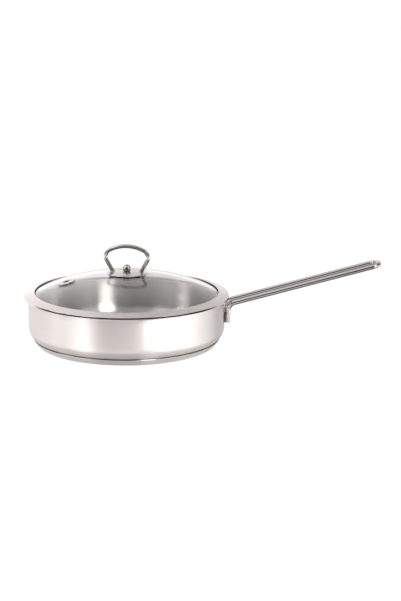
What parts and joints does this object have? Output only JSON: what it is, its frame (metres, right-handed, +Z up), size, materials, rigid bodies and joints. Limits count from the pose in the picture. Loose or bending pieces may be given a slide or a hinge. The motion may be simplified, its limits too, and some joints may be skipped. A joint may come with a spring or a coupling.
{
  "type": "frying pan with lid",
  "caption": "Straight-sided stainless steel frying pan with an encapsulated base, a rising hairpin rod handle and a domed glass lid with a steel band, a steam vent and a wire loop knob.",
  "frame": {"origin": "centre of the flat underside of the base", "axes": "+X along the handle, away from the pan; +Z up through the lid knob; +Y to the left of the handle seen from its end"},
  "size_m": [0.4409, 0.253, 0.1233],
  "materials": {
    "pan_steel": "stainless steel, fine satin polish",
    "band_steel": "stainless steel, satin, turned in fine rings",
    "polished_steel": "stainless steel, bright polish",
    "core_aluminium": "plain rolled sheet",
    "seal_silicone": "dark silicone, matt",
    "lid_clear_glass": "clear tempered glass"
  },
  "bodies": {
    "pan": {"pan_body": "pan_steel", "base_core": "core_aluminium", "base_cap": "pan_steel", "handle_rod": "polished_steel"},
    "lid": {"lid_band": "band_steel", "lid_seal": "seal_silicone", "lid_glass": "lid_clear_glass", "vent_eyelet": "polished_steel", "knob_plate": "band_steel", "knob_loop": "polished_steel", "knob_screw": "polished_steel", "knob_gasket": "seal_silicone", "under_gasket": "seal_silicone", "under_washer": "polished_steel", "spring_washer": "polished_steel", "under_nut": "polished_steel"}
  },
  "joints": [
    {"name": "lid_lift", "type": "slide", "parent": "pan", "child": "lid", "axis": [0, 0, 1], "range_m": [0, 0.12]}
  ]
}
